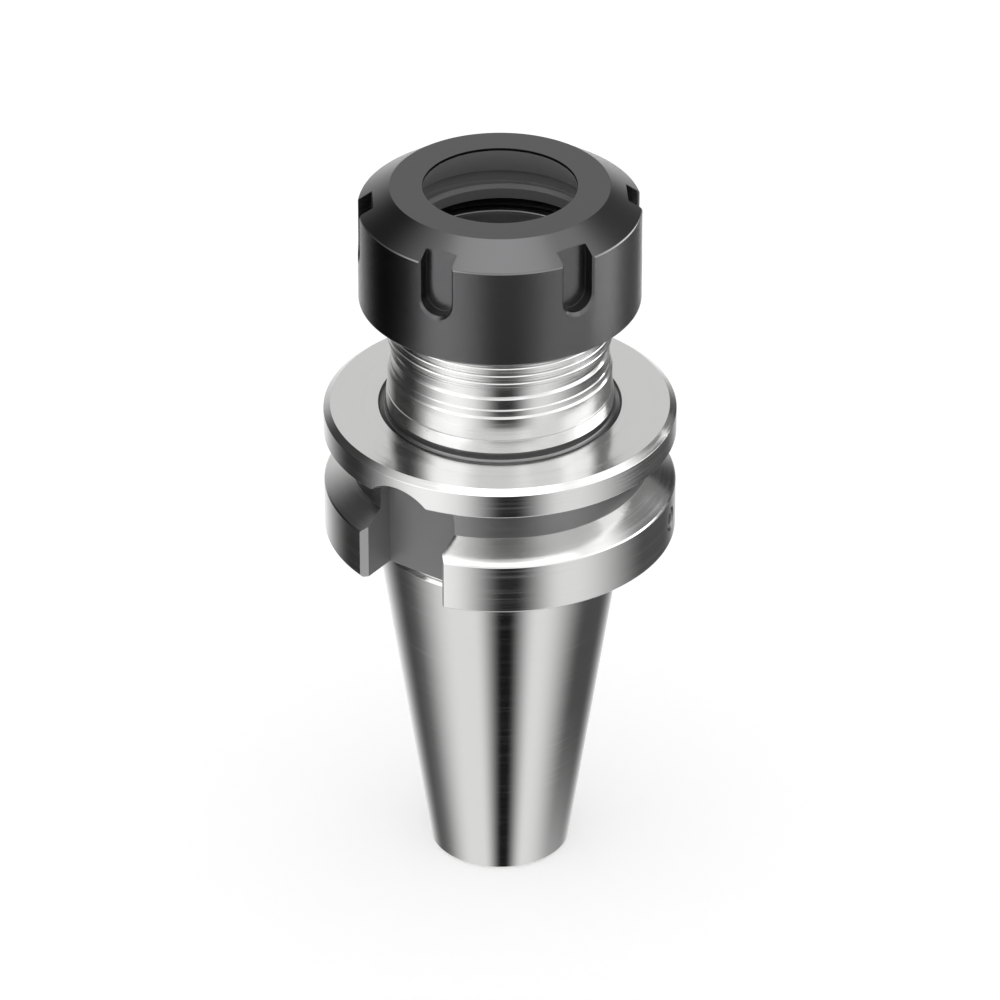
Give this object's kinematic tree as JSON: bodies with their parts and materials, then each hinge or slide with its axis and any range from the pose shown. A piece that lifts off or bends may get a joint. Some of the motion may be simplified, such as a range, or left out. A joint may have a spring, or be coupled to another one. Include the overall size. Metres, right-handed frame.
{
  "type": "collet chuck holder",
  "caption": "Steep-taper collet chuck holder: tapered shank, grooved flange with drive slots, threaded neck and a dark slotted clamping nut that turns on it.",
  "frame": {"origin": "centre of the shank's small end face, on the taper's axis, which is the face it stands on", "axes": "+Z along the taper's axis, from the small end towards the nut's mouth; the drive slots face -Y and +Y"},
  "size_m": [0.063, 0.063, 0.1361],
  "materials": {
    "ground_steel": "case-hardened steel, ground on the taper and finely turned elsewhere",
    "blackened_steel": "hardened steel with a smooth black satin finish",
    "screw_steel": "black oxide grub screws"
  },
  "bodies": {
    "holder": {"holder_body": "ground_steel", "channel_plug_right": "screw_steel", "channel_plug_left": "screw_steel", "inlet_plug_right": "screw_steel", "inlet_plug_left": "screw_steel"},
    "nut": {"clamping_nut": "blackened_steel"}
  },
  "joints": [
    {"name": "nut_turn", "type": "hinge", "parent": "holder", "child": "nut", "pos_m": [0, 0, 0.12], "axis": [0, 0, 1], "range_deg": [-640, 1650]}
  ]
}
